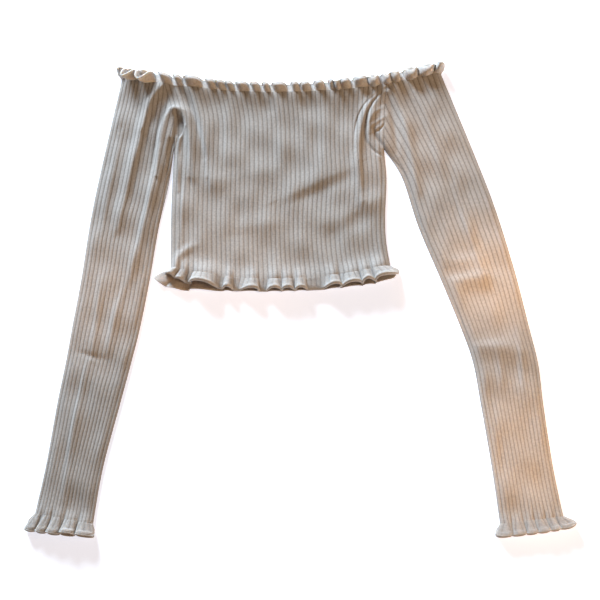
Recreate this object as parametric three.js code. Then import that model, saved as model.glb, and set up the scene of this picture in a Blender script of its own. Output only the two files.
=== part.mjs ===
// An off-shoulder top in rib knit, with long sleeves, laid flat on its back.
// The body is a front over a back, each sleeve is a tube pressed flat, and narrow frills are
// sewn round the neck, the hem and both cuffs. Millimetres, +Z up, +Y towards the neck.
import * as THREE from 'three';

// cloth
const CLOTH = 1.5;            // wall of the knit, in the groove between two ribs
const RIB_HEIGHT = 0.8;       // a rib's crest above that groove
const FRILL_CLOTH = 1.2;      // wall of a frill
const SEAM_GAP = 0.3;         // clearance between two pieces that are sewn together
const UPPER = CLOTH + SEAM_GAP; // underside of the upper layer where it lies on the lower one
const SLACK = 1.2;            // how far the upper layer stands off the lower one inside its edges
const EDGE_FADE = 10;         // width over which slack and folds die away towards an edge

// ribs and sections
const BODY_RIBS = 47;
const SLEEVE_RIBS = 17;
const BODY_ROWS = [0, 0.06, 0.15, 0.28, 0.41, 0.54, 0.62, 0.68, 0.74, 0.8, 0.86, 0.92, 0.97, 1];
const SLEEVE_ROWS = [0, 0.2, 0.4, 0.6, 0.8, 1, 1.4, 2, 2.6, 3.2, 4, 4.6, 5, 5.5, 6, 7, 8];
const UNDERARM_ROW = 4;       // the row of BODY_SECTIONS where the armhole starts

// Body, from the hem to the neck: its two edges, and how far the middle lies below them.
const BODY_SECTIONS = [
  { name: 'hem', leftX: -163, leftY: 41, rightX: 114, rightY: 44, sag: 18 },
  { name: 'hip', leftX: -164, leftY: 75, rightX: 109.5, rightY: 76, sag: 11 },
  { name: 'waist', leftX: -165, leftY: 110, rightX: 109, rightY: 110, sag: 5 },
  { name: 'chest', leftX: -165, leftY: 158, rightX: 112, rightY: 162, sag: 1 },
  { name: 'underarm', leftX: -160, leftY: 204, rightX: 110, rightY: 204, sag: 1 },
  { name: 'armhole', leftX: -167, leftY: 250, rightX: 111, rightY: 250, sag: 5 },
  { name: 'neck', leftX: -180, leftY: 296, rightX: 115, rightY: 296, sag: 12 },
];

// Sleeves, from the first full section below the armhole to the cuff. The outer fold is the
// one away from the body. lip is how far the lower layer shows past the upper one.
const LEFT_SLEEVE = {
  corner: [-238, 306], side: -1, neckRibs: 12,
  sections: [
    { outerX: -259, outerY: 172, innerX: -170, innerY: 152, lip: 0 },
    { outerX: -268, outerY: 104, innerX: -180, innerY: 97, lip: 0 },
    { outerX: -275, outerY: 26, innerX: -189, innerY: 23, lip: 0 },
    { outerX: -282, outerY: -33, innerX: -198, innerY: -37, lip: 0 },
    { outerX: -287, outerY: -78, innerX: -207, innerY: -82, lip: 0 },
    { outerX: -294, outerY: -130, innerX: -218, innerY: -133, lip: 0 },
    { outerX: -302, outerY: -203, innerX: -234, innerY: -208, lip: 0 },
    { outerX: -311, outerY: -260, innerX: -242, innerY: -268, lip: 0 },
  ],
};
const RIGHT_SLEEVE = {
  corner: [189, 314], side: 1, neckRibs: 11,
  sections: [
    { outerX: 229, outerY: 193, innerX: 132, innerY: 165, lip: 5 },
    { outerX: 250, outerY: 124, innerX: 151, innerY: 97, lip: 4 },
    { outerX: 270, outerY: 40, innerX: 176, innerY: 29, lip: 2.5 },
    { outerX: 284, outerY: -36, innerX: 199, innerY: -36, lip: 4 },
    { outerX: 292, outerY: -82, innerX: 212, innerY: -80, lip: 1.5 },
    { outerX: 295, outerY: -135, innerX: 219, innerY: -132, lip: 1 },
    { outerX: 301, outerY: -206, innerX: 228, innerY: -207, lip: 0.5 },
    { outerX: 309, outerY: -262, innerX: 234, innerY: -270, lip: 0 },
  ],
};

// The largest folds in the upper layer, each along an arc from one place via another to a third.
const FOLDS = [
  { name: 'left sleeve long fold', from: [-182, 293], via: [-203, 235], to: [-228, 128], width: 7, height: 5 },
  { name: 'left sleeve inner fold', from: [-166, 268], via: [-194, 245], to: [-186, 160], width: 6, height: 6 },
  { name: 'left sleeve low fold', from: [-188, 168], via: [-192, 130], to: [-214, 30], width: 7, height: 3 },
  { name: 'left sleeve outer fold', from: [-234, 220], via: [-244, 160], to: [-252, 90], width: 7, height: 2 },
  { name: 'left underarm fold', from: [-166, 268], via: [-142, 258], to: [-137, 190], width: 6, height: 6 },
  { name: 'left side fold', from: [-152, 215], via: [-162, 170], to: [-157, 90], width: 5, height: 2.5 },
  { name: 'left bust fold', from: [-160, 288], via: [-124, 262], to: [-116, 176], width: 6, height: 3 },
  { name: 'right underarm fold', from: [109, 285], via: [68, 262], to: [77, 140], width: 7, height: 6.5 },
  { name: 'right armhole fold', from: [106, 281], via: [74, 240], to: [105, 203], width: 5, height: 4.5 },
  { name: 'right sleeve inner fold', from: [122, 280], via: [140, 250], to: [140, 200], width: 6, height: 5 },
  { name: 'right sleeve middle fold', from: [150, 285], via: [176, 233], to: [182, 160], width: 8, height: 3 },
  { name: 'body slant fold', from: [-10, 150], via: [30, 194], to: [66, 210], width: 12, height: 2.5 },
  { name: 'body low slant fold', from: [20, 100], via: [60, 128], to: [100, 136], width: 11, height: 2 },
  { name: 'hem corner fold', from: [-156, 50], via: [-150, 62], to: [-136, 76], width: 6, height: 3 },
  { name: 'right elbow fold', from: [206, -60], via: [222, -52], to: [250, -56], width: 7, height: 3 },
  { name: 'left forearm fold', from: [-256, -84], via: [-268, -150], to: [-274, -240], width: 7, height: 2.5 },
];
const FOLD_STEPS = 12;
const FOLD_END = 0.12;        // share of a half wave that is left off at each end of a fold

// Frills. Each wave is a flat stretch along the seam and then a crest that turns up by rise
// degrees. The widths share out the seam's length.
const NECK_FRILL = 16;
const HEM_FRILL = 17;
const CUFF_FRILL = 17;
const FLAT_ANGLE = 6;         // degrees by which the flat stretches still turn up
const LOWER_SHARE = 0.25;     // a lower frill turns up by this share of the one above it
const CREST_SPREAD = 0.11;    // share of its width by which a crest flares at the free edge
const ROOT_TURN = 0.4;        // share of the turn at the seam, and what it gains to the free edge
const EDGE_TURN = 1.0;
const BROAD_CREST = 10;       // a crest wider than this is drawn in more steps
const BROAD_STEPS = 6;
const NARROW_STEPS = 4;
const NECK_WAVES = [
  { flat: 0, crest: 13, rise: 50 }, { flat: 1, crest: 15, rise: 112 }, { flat: 3, crest: 18, rise: 108 },
  { flat: 12, crest: 8, rise: 60 }, { flat: 3, crest: 6, rise: 50 }, { flat: 25, crest: 9, rise: 58 },
  { flat: 13, crest: 8, rise: 55 }, { flat: 4, crest: 7, rise: 55 }, { flat: 3, crest: 6, rise: 50 },
  { flat: 10, crest: 7, rise: 60 }, { flat: 6, crest: 7, rise: 52 }, { flat: 5, crest: 7, rise: 55 },
  { flat: 22, crest: 8, rise: 60 }, { flat: 4, crest: 7, rise: 52 }, { flat: 15, crest: 8, rise: 58 },
  { flat: 9, crest: 7, rise: 55 }, { flat: 2, crest: 6, rise: 50 }, { flat: 13, crest: 8, rise: 66 },
  { flat: 20, crest: 9, rise: 68 }, { flat: 3, crest: 8, rise: 75 }, { flat: 7, crest: 10, rise: 92 },
  { flat: 3, crest: 9, rise: 85 }, { flat: 3, crest: 9, rise: 88 }, { flat: 5, crest: 13, rise: 105 },
  { flat: 2, crest: 13, rise: 112 }, { flat: 0, crest: 12, rise: 50 },
];
const HEM_WAVES = [
  { flat: 2, crest: 18, rise: 42 }, { flat: 6, crest: 25, rise: 66 }, { flat: 16, crest: 14, rise: 46 },
  { flat: 3, crest: 25, rise: 52 }, { flat: 9, crest: 19, rise: 58 }, { flat: 1, crest: 17, rise: 56 },
  { flat: 1, crest: 12, rise: 52 }, { flat: 24, crest: 20, rise: 60 }, { flat: 2, crest: 24, rise: 52 },
  { flat: 1, crest: 14, rise: 62 }, { flat: 0, crest: 11, rise: 58 }, { flat: 10, crest: 3, rise: 10 },
];
const LEFT_CUFF_WAVES = [
  { flat: 1, crest: 9, rise: 20 }, { flat: 2, crest: 11, rise: 26 }, { flat: 2, crest: 13, rise: 28 },
  { flat: 2, crest: 15, rise: 50 }, { flat: 3, crest: 17, rise: 42 },
];
const RIGHT_CUFF_WAVES = [
  { flat: 1, crest: 15, rise: 30 }, { flat: 2, crest: 15, rise: 30 }, { flat: 2, crest: 12, rise: 28 },
  { flat: 2, crest: 13, rise: 30 }, { flat: 2, crest: 14, rise: 34 }, { flat: 1, crest: 8, rise: 20 },
];

const KNIT = { color: 0xd9cfc2, roughness: 0.9, metalness: 0 };
const EDGE_KNIT = { color: 0xe2dad0, roughness: 0.9, metalness: 0 };

const lerp = THREE.MathUtils.lerp;
const smoothstep = THREE.MathUtils.smoothstep;
const pairs = (count) => Array.from({ length: count + 1 }, (_, i) => i / count);

// A curve through one point of each row of a table.
function curveThrough(rows, x, y) {
  return new THREE.SplineCurve(rows.map((row) => new THREE.Vector2(row[x], row[y])));
}

// Collects points and triangles of one closed body.
class Skin {
  constructor() {
    this.positions = [];
    this.faces = [];
  }

  // A row of points, each with a key that says how far along the row it is.
  row(points, keys) {
    return points.map((point, i) => {
      this.positions.push(point.x, point.y, point.z);
      return { id: this.positions.length / 3 - 1, key: keys[i] };
    });
  }

  // Triangles between two rows that run the same way, facing the side from which upper is
  // above lower when they run to the right. The rows may have different numbers of points.
  strip(lower, upper) {
    let i = 0;
    let j = 0;
    while (i < lower.length - 1 || j < upper.length - 1) {
      const stepLower = j === upper.length - 1
        || (i < lower.length - 1 && lower[i + 1].key <= upper[j + 1].key);
      if (stepLower) {
        this.faces.push(lower[i].id, lower[i + 1].id, upper[j].id);
        i += 1;
      } else {
        this.faces.push(lower[i].id, upper[j + 1].id, upper[j].id);
        j += 1;
      }
    }
  }

  mesh(name, finish) {
    const geometry = new THREE.BufferGeometry();
    geometry.setAttribute('position', new THREE.Float32BufferAttribute(this.positions, 3));
    geometry.setIndex(this.faces);
    geometry.computeVertexNormals();
    const mesh = new THREE.Mesh(geometry, new THREE.MeshStandardMaterial(finish));
    mesh.name = name;
    return mesh;
  }
}

// A wall between an upper and a lower grid of rows. Its rows run to the right and follow each
// other away from the viewer, seen from above.
function wall(name, finish, upperRows, lowerRows, upperKeys, lowerKeys) {
  const skin = new Skin();
  const upper = upperRows.map((points) => skin.row(points, upperKeys));
  const lower = lowerRows.map((points) => skin.row(points, lowerKeys));
  const last = upper.length - 1;
  for (let k = 0; k < last; k += 1) {
    skin.strip(upper[k], upper[k + 1]);
    skin.strip(lower[k + 1], lower[k]);
  }
  skin.strip(lower[0], upper[0]);
  skin.strip(upper[last], lower[last]);
  const side = (rows, end) => rows.map((row, k) => ({ id: row.at(end).id, key: k }));
  skin.strip(side(upper, 0), side(lower, 0));
  skin.strip(side(lower, -1), side(upper, -1));
  return skin.mesh(name, finish);
}

// Folds, slack and ribs

const foldLines = FOLDS.map((fold) => {
  const curve = new THREE.QuadraticBezierCurve(
    new THREE.Vector2(...fold.from), new THREE.Vector2(...fold.via), new THREE.Vector2(...fold.to));
  return { ...fold, points: curve.getPoints(FOLD_STEPS) };
});

// Height of the folds at a place: each is a ridge of bell-shaped section along its arc,
// highest in the middle of its length.
function foldHeight(place) {
  let height = 0;
  for (const fold of foldLines) {
    let nearest = Infinity;
    let along = 0;
    fold.points.slice(1).forEach((end, i) => {
      const start = fold.points[i];
      const run = end.clone().sub(start);
      const share = THREE.MathUtils.clamp(place.clone().sub(start).dot(run) / run.lengthSq(), 0, 1);
      const distance = place.distanceTo(start.clone().addScaledVector(run, share));
      if (distance < nearest) {
        nearest = distance;
        along = (i + share) / FOLD_STEPS;
      }
    });
    const swell = Math.sin(Math.PI * lerp(FOLD_END, 1 - FOLD_END, along));
    height += fold.height * swell * Math.exp(-((nearest / fold.width) ** 2));
  }
  return height;
}

const lift = (place, fade) => fade * (SLACK + foldHeight(place));
const ribAt = (column) => (column % 2 === 1 ? RIB_HEIGHT : 0);

// Body

const leftEdge = curveThrough(BODY_SECTIONS, 'leftX', 'leftY');
const rightEdge = curveThrough(BODY_SECTIONS, 'rightX', 'rightY');
const sagCurve = new THREE.SplineCurve(BODY_SECTIONS.map((row, i) => new THREE.Vector2(i, row.sag)));
const UNDERARM = UNDERARM_ROW / (BODY_SECTIONS.length - 1);

function bodyPoint(across, up) {
  const place = leftEdge.getPoint(up).lerp(rightEdge.getPoint(up), across);
  place.y -= sagCurve.getPoint(up).y * 4 * across * (1 - across);
  return place;
}

// Slack and folds die away at the side seams and the hem, but not at the armholes and neck.
function bodyFade(across, up) {
  const width = rightEdge.getPoint(up).x - leftEdge.getPoint(up).x;
  const toSide = smoothstep(Math.min(across, 1 - across) * width, 0, EDGE_FADE);
  const armhole = smoothstep(up, UNDERARM - 0.06, UNDERARM + 0.08);
  return lerp(toSide, 1, armhole) * smoothstep(up, 0, 0.05);
}

function bodyFront() {
  const columns = pairs(2 * BODY_RIBS);
  const innerColumns = pairs(BODY_RIBS);
  const layer = (keys, height) => BODY_ROWS.map((up) => keys.map((across, i) => {
    const place = bodyPoint(across, up);
    return new THREE.Vector3(place.x, place.y, lift(place, bodyFade(across, up)) + height(i));
  }));
  const upper = layer(columns, (i) => UPPER + CLOTH + ribAt(i));
  const lower = layer(innerColumns, () => UPPER);
  return wall('body_front', KNIT, upper, lower, columns, innerColumns);
}

// The back lies flat on its outer face, so it is one even layer.
function bodyBack() {
  const outline = [
    ...BODY_ROWS.map((up) => bodyPoint(1, up)),
    ...pairs(16).slice(1, -1).map((share) => bodyPoint(1 - share, 1)),
    ...[...BODY_ROWS].reverse().map((up) => bodyPoint(0, up)),
    ...pairs(16).slice(1, -1).map((share) => bodyPoint(share, 0)),
  ];
  const sheet = new THREE.ExtrudeGeometry(new THREE.Shape(outline), { depth: CLOTH, bevelEnabled: false });
  const mesh = new THREE.Mesh(sheet, new THREE.MeshStandardMaterial(KNIT));
  mesh.name = 'body_back';
  return mesh;
}

// Sleeves

const FOLD_ROUND = 2.4;       // radius of the roll along a pressed fold
const FOLD_MIDDLE = 1.6;      // height of the outermost line of that roll
const HOLLOW_INSET = 2.2;     // from that line to the end of the hollow inside

// Where the sleeve meets the neck frill and the armhole: along the neck from the outer corner,
// and then down the armhole to the underarm.
function sleeveTop(sleeve, share) {
  const edge = sleeve.side < 0 ? leftEdge : rightEdge;
  const offset = new THREE.Vector2(sleeve.side * SEAM_GAP, 0);
  const neckShare = sleeve.neckRibs / SLEEVE_RIBS;
  if (share <= neckShare) {
    const seamTop = edge.getPoint(1).add(offset);
    return new THREE.Vector2(...sleeve.corner).lerp(seamTop, share / neckShare);
  }
  const down = (share - neckShare) / (1 - neckShare);
  return edge.getPoint(lerp(1, UNDERARM, down)).add(offset);
}

// One line down the sleeve from its top to the cuff, at a share of its width from the outer fold.
function sleeveLine(sleeve, share) {
  return new THREE.SplineCurve([
    sleeveTop(sleeve, share),
    ...sleeve.sections.map((s) => new THREE.Vector2(
      lerp(s.outerX, s.innerX, share), lerp(s.outerY, s.innerY, share))),
  ]);
}

function sleeveRow(sleeve, down, shares) {
  const at = down / sleeve.sections.length;
  return shares.map((share) => sleeveLine(sleeve, share).getPoint(at));
}

// Distance of each point of a row from the row's first point, along the row.
function runOf(points) {
  let run = 0;
  return points.map((point, i) => {
    run += i ? point.distanceTo(points[i - 1]) : 0;
    return run;
  });
}

const rolled = (distance) => Math.sqrt(1 - (1 - Math.min(distance / FOLD_ROUND, 1)) ** 2);

function sleeve(name, shape) {
  const skin = new Skin();
  const ribColumns = pairs(2 * SLEEVE_RIBS);
  const plainColumns = pairs(SLEEVE_RIBS);
  const lowerColumns = plainColumns.filter(
    (_, i) => i === 0 || i === SLEEVE_RIBS || i % 2 === shape.neckRibs % 2);
  const lips = new THREE.SplineCurve([
    new THREE.Vector2(0, 0), ...shape.sections.map((s, i) => new THREE.Vector2(i + 1, s.lip))]);
  // The sleeve on the left runs from its outer fold to the right, and the other one mirrored.
  const mirrored = shape.side > 0;

  const fadeAt = (down, toOuter, toInner) => {
    const open = smoothstep(down, 0, 1);
    const end = smoothstep(shape.sections.length - down, 0, 0.25);
    const inner = lerp(1, smoothstep(toInner, 0, EDGE_FADE), open);
    return smoothstep(toOuter, 0, EDGE_FADE) * inner * end;
  };

  const outerRows = [];
  const hollowRows = [];
  for (const down of SLEEVE_ROWS) {
    const lip = Math.max(0, lips.getPoint(down / shape.sections.length).y);
    const top = sleeveRow(shape, down, ribColumns);
    const run = runOf(top);
    const width = run.at(-1);
    const outer = top.map((place, i) => {
      const toInner = Math.max(0, width - run[i] - lip);
      const cover = UPPER + CLOTH + lift(place, fadeAt(down, run[i], toInner)) + ribAt(i);
      const height = lerp(FOLD_MIDDLE, cover, rolled(run[i]) * rolled(toInner));
      return new THREE.Vector3(place.x, place.y, height);
    });
    // Underneath, the rows turn in by the roll's radius and lie flat.
    const inset = (share, by) => lerp(by / width, 1 - by / width, share);
    const under = sleeveRow(shape, down, lowerColumns.map((share) => inset(share, FOLD_ROUND)))
      .map((place) => new THREE.Vector3(place.x, place.y, 0)).reverse();
    outerRows.push({
      points: [...outer, ...under, outer[0]],
      keys: [...ribColumns, ...lowerColumns.map((share) => 1 + share), 2],
    });
    const hollowInset = HOLLOW_INSET + lip;
    const ceilingPlaces = sleeveRow(shape, down, plainColumns.map((share) => inset(share, hollowInset)));
    const ceilingRun = runOf(ceilingPlaces);
    const ceiling = ceilingPlaces.map((place, i) => {
      const fade = fadeAt(down, ceilingRun[i] + hollowInset, width - ceilingRun[i] - hollowInset - lip);
      return new THREE.Vector3(place.x, place.y, UPPER + lift(place, Math.max(0, fade)));
    });
    const floor = sleeveRow(shape, down, lowerColumns.map((share) => inset(share, hollowInset)))
      .map((place) => new THREE.Vector3(place.x, place.y, CLOTH)).reverse();
    hollowRows.push({
      points: [...ceiling, ...floor, ceiling[0]],
      keys: [...plainColumns, ...lowerColumns.map((share) => 1 + share), 2],
    });
  }

  // The last point of a ring is its first point again.
  const ring = ({ points, keys }) => {
    const row = skin.row(points.slice(0, -1), keys);
    row.push({ id: row[0].id, key: keys.at(-1) });
    return row;
  };
  const outerRings = outerRows.map(ring);
  const hollowRings = hollowRows.map(ring);
  const last = outerRings.length - 1;
  const strip = (a, b) => (mirrored ? skin.strip(b, a) : skin.strip(a, b));
  for (let k = 0; k < last; k += 1) {
    strip(outerRings[k + 1], outerRings[k]);
    strip(hollowRings[k], hollowRings[k + 1]);
  }
  strip(outerRings[0], hollowRings[0]);
  strip(hollowRings[last], outerRings[last]);
  return skin.mesh(name, KNIT);
}

// Frills

// Places along a seam where a frill is sampled, with how far each crest has risen there.
function waveStations(waves, broadSteps) {
  const total = waves.reduce((sum, wave) => sum + wave.flat + wave.crest, 0);
  const stations = [{ along: 0, rise: 0, lift: 0, spread: 0 }];
  let start = 0;
  for (const wave of waves) {
    const count = wave.crest > BROAD_CREST ? broadSteps : NARROW_STEPS;
    const steps = pairs(count).slice(wave.flat > 0 ? 0 : 1);
    for (const step of steps) {
      stations.push({
        along: (start + wave.flat + wave.crest * step) / total,
        rise: wave.rise,
        lift: Math.sin(Math.PI * step) ** 1.5,
        spread: -CREST_SPREAD * wave.crest * Math.sin(2 * Math.PI * step),
      });
    }
    start += wave.flat + wave.crest;
  }
  return stations;
}

// A strip of cloth that leaves a seam on its left-hand side and turns up more and more towards
// its free edge. fanStart and fanEnd turn its two ends outwards, in degrees.
function frill(name, { seam, heightAt, length, waves, broadSteps, depthSteps, share, fanStart, fanEnd }) {
  const stations = waveStations(waves, broadSteps);
  const middle = pairs(depthSteps).map(() => []);
  for (const { along, rise, lift: risen, spread } of stations) {
    const root = seam.getPointAt(along);
    const tangent = seam.getTangentAt(along);
    const fan = THREE.MathUtils.degToRad(
      fanStart * (1 - smoothstep(along, 0, 0.12)) - fanEnd * smoothstep(along, 0.88, 1));
    const out = new THREE.Vector2(-tangent.y, tangent.x).rotateAround(new THREE.Vector2(), fan);
    const turn = THREE.MathUtils.degToRad(share * lerp(FLAT_ANGLE, rise, risen));
    let reach = SEAM_GAP;
    let height = heightAt(root, along) + FRILL_CLOTH / 2;
    middle.forEach((row, k) => {
      if (k > 0) {
        const angle = turn * (ROOT_TURN + EDGE_TURN * (k - 0.5) / depthSteps);
        reach += (length / depthSteps) * Math.cos(angle);
        height += (length / depthSteps) * Math.sin(angle);
      }
      const place = root.clone().addScaledVector(out, reach);
      place.addScaledVector(tangent, (spread * k) / depthSteps);
      row.push(new THREE.Vector3(place.x, place.y, height));
    });
  }
  const along = (row, i) => row[Math.min(i + 1, row.length - 1)].clone().sub(row[Math.max(i - 1, 0)]);
  const away = (k, i) => middle[Math.min(k + 1, depthSteps)][i].clone().sub(middle[Math.max(k - 1, 0)][i]);
  // The end face at the seam stands upright, so that it keeps its gap to the panel behind it.
  const side = (offset) => middle.map((row, k) => row.map((point, i) => {
    const normal = k === 0 ? new THREE.Vector3(0, 0, 1) : along(row, i).cross(away(k, i)).normalize();
    return point.clone().addScaledVector(normal, offset);
  }));
  const keys = stations.map((station) => station.along);
  return wall(name, EDGE_KNIT, side(FRILL_CLOTH / 2), side(-FRILL_CLOTH / 2), keys, keys);
}

const neckSeam = new THREE.SplineCurve([
  ...pairs(6).slice(0, -1).map((share) => sleeveTop(LEFT_SLEEVE, (share * LEFT_SLEEVE.neckRibs) / SLEEVE_RIBS)),
  ...pairs(16).map((share) => bodyPoint(share, 1)),
  ...pairs(6).slice(1).map((share) => sleeveTop(RIGHT_SLEEVE, ((1 - share) * RIGHT_SLEEVE.neckRibs) / SLEEVE_RIBS)),
]);
const hemSeam = new THREE.SplineCurve(pairs(16).map((share) => bodyPoint(1 - share, 0)));

function cuffSeam(shape) {
  const end = shape.sections.at(-1);
  const outer = new THREE.Vector2(end.outerX, end.outerY);
  const inner = new THREE.Vector2(end.innerX, end.innerY);
  return shape.side < 0 ? new THREE.LineCurve(inner, outer) : new THREE.LineCurve(outer, inner);
}

// Over the neck the upper frill starts where the cloth below it lies, folds and all.
const neckHeight = (place, along) => {
  const fade = smoothstep(Math.min(along, 1 - along) * neckSeam.getLength(), 0, EDGE_FADE);
  return UPPER + lift(place, fade);
};
const upperHeight = () => UPPER;
const lowerHeight = () => 0;

const FRILLS = [
  { name: 'neck_frill', seam: neckSeam, upper: neckHeight, length: NECK_FRILL, waves: NECK_WAVES,
    fanStart: 24, fanEnd: 32 },
  { name: 'hem_frill', seam: hemSeam, upper: upperHeight, length: HEM_FRILL, waves: [...HEM_WAVES].reverse(),
    fanStart: 38, fanEnd: 46 },
  { name: 'left_cuff_frill', seam: cuffSeam(LEFT_SLEEVE), upper: upperHeight, length: CUFF_FRILL,
    waves: [...LEFT_CUFF_WAVES].reverse(), fanStart: 12, fanEnd: 24 },
  { name: 'right_cuff_frill', seam: cuffSeam(RIGHT_SLEEVE), upper: upperHeight, length: CUFF_FRILL,
    waves: [...RIGHT_CUFF_WAVES].reverse(), fanStart: 34, fanEnd: 20 },
];

const garment = new THREE.Group();
garment.add(bodyBack(), bodyFront(), sleeve('left_sleeve', LEFT_SLEEVE), sleeve('right_sleeve', RIGHT_SLEEVE));
for (const { name, upper, ...shape } of FRILLS) {
  garment.add(frill(`${name}_front`, {
    ...shape, heightAt: upper, broadSteps: BROAD_STEPS, depthSteps: 3, share: 1 }));
  garment.add(frill(`${name}_back`, {
    ...shape, heightAt: lowerHeight, broadSteps: NARROW_STEPS, depthSteps: 1, share: LOWER_SHARE }));
}

// The origin is the middle of the footprint, on the surface that the garment lies on.
const box = new THREE.Box3().setFromObject(garment);
const centre = box.getCenter(new THREE.Vector3());
garment.position.set(-centre.x, -centre.y, 0);

export default garment;
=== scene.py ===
"""An off-shoulder top in rib knit, laid flat on its back on a pale floor.

The body is a front over a back, each sleeve is a tube pressed flat, and frills with an
overlocked edge run round the neck, the hem and both cuffs. Tables and curves are in
millimetres, with +Y towards the neck; every mesh is in metres in the model's frame. Each
surface is worked out on a grid: places on the floor first, then its height above them.
"""

import math

import bpy
import numpy as np
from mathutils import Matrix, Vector


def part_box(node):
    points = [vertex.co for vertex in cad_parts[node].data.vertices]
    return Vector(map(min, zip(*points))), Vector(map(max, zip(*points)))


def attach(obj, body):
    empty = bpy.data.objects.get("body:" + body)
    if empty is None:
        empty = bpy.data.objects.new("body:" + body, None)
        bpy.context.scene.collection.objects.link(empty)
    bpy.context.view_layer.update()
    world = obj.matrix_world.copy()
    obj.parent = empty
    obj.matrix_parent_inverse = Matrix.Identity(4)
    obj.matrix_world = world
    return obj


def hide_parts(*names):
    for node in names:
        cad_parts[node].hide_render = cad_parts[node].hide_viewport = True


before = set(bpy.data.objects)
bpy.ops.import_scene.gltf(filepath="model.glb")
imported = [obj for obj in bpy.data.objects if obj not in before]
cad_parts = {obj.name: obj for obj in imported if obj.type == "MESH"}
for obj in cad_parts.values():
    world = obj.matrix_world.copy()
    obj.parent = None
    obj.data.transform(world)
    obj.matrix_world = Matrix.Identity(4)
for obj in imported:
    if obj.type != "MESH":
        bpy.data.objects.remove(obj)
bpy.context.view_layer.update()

MM = 0.001

# Cloth, in millimetres
CLOTH = 1.5             # wall of the knit, in the groove between two ribs
RIB_HEIGHT = 0.55       # a rib's crest above that groove
UNDER_GROOVE = 0.7      # depth of the grooves between the ribs that rest on the floor
FRONT_EDGE = 0.2        # wall of the front along its side seams
BACK_EDGE = 0.3         # wall of the back there
FRILL_CLOTH = 1.2       # wall of a frill
SEAM_GAP = 0.3          # between an upper and a lower layer
STITCH_GAP = 0.05       # between two pieces that are sewn edge to edge
STITCH_STEP = 0.25      # a frill at the hem or a cuff lies this much higher along its seam
NECK_STEP = 0.3         # the neck's frill starts this much above the inside of the cloth
LOWER_STEP = 0.15       # a lower frill starts this much above the floor
UPPER = CLOTH + SEAM_GAP
SLACK = 1.7             # how far the upper layer stands off the lower one inside its edges
TROUGH_ROUND = 0.5      # height over which a trough is rounded off near the lower layer
EDGE_FADE = 10          # width over which slack and folds die away towards an edge
FOLD_ROUND = 2.6        # radius of the roll along a pressed edge
FOLD_MIDDLE = 1.6       # height of the outermost line of that roll
HOLLOW_INSET = 2.4      # from that line to the end of the hollow inside
BULB = 84               # a crest that leaves the seam at more degrees than this bulges forwards

# Ribs
BODY_RIBS = 47
SLEEVE_RIBS = 17
RIB_PITCH = 5.9
RIB_POWER = 0.4         # the lower, the broader the ribs and the narrower the grooves
RIB_STEPS = 8           # columns of the grid in one rib
COARSE = 4              # the plain inside of a wall has a column and row for this many outside
BODY_ROWS = 52 * COARSE
SLEEVE_HEAD_ROWS = 22 * COARSE      # from a sleeve's top to its first section
SLEEVE_ROWS = 32 * COARSE           # from there to the cuff

# The body from the hem to the neck. Columns: left edge x and y, right edge x and y, and how
# far the line between them sags.
BODY_SECTIONS = np.array([
    (-163, 41, 114, 44, 18),
    (-164, 75, 109.5, 76, 11),
    (-165, 110, 109, 110, 5),
    (-165, 158, 112, 162, 1),
    (-164.5, 204, 110, 204, 1),
    (-167, 250, 111, 250, 5),
    (-180, 296, 115, 296, 12),
], float)
UNDERARM = 4 / 6        # share of the body's height where the armhole starts
ARMHOLE_FADE = (UNDERARM - 0.06, UNDERARM + 0.08)   # from here up, folds cross the armhole
ARMHOLE_ROLL = (UNDERARM - 0.01, UNDERARM + 0.02)   # from here up, the edge isn't rolled down

# Sleeves from below the armhole to the cuff. Columns: outer fold x and y, inner fold x and y,
# and how far the lower layer shows past the upper one. Side is -1 for the sleeve on the left
# of the picture, and neck_ribs counts the ribs that end at the neck.
LEFT_SLEEVE = dict(side=-1, corner=(-238, 306), neck_ribs=12, sections=np.array([
    (-259, 172, -170, 152, 3.5), (-268, 104, -180, 97, 1), (-275, 26, -189, 23, 0),
    (-282, -33, -198, -37, 0), (-287, -78, -207, -82, 0), (-294, -130, -218, -133, 0),
    (-302, -203, -234, -208, 0), (-311, -261, -242, -273, 0)], float))
RIGHT_SLEEVE = dict(side=1, corner=(189, 314), neck_ribs=11, sections=np.array([
    (229, 193, 132, 165, 5), (250, 124, 151, 97, 4), (270, 40, 176, 29, 2.5),
    (284, -36, 199, -36, 4), (292, -82, 212, -80, 1.5), (295, -135, 219, -132, 1),
    (301, -206, 228, -207, 0.5), (309, -264.5, 234, -273, 0)], float))

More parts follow.
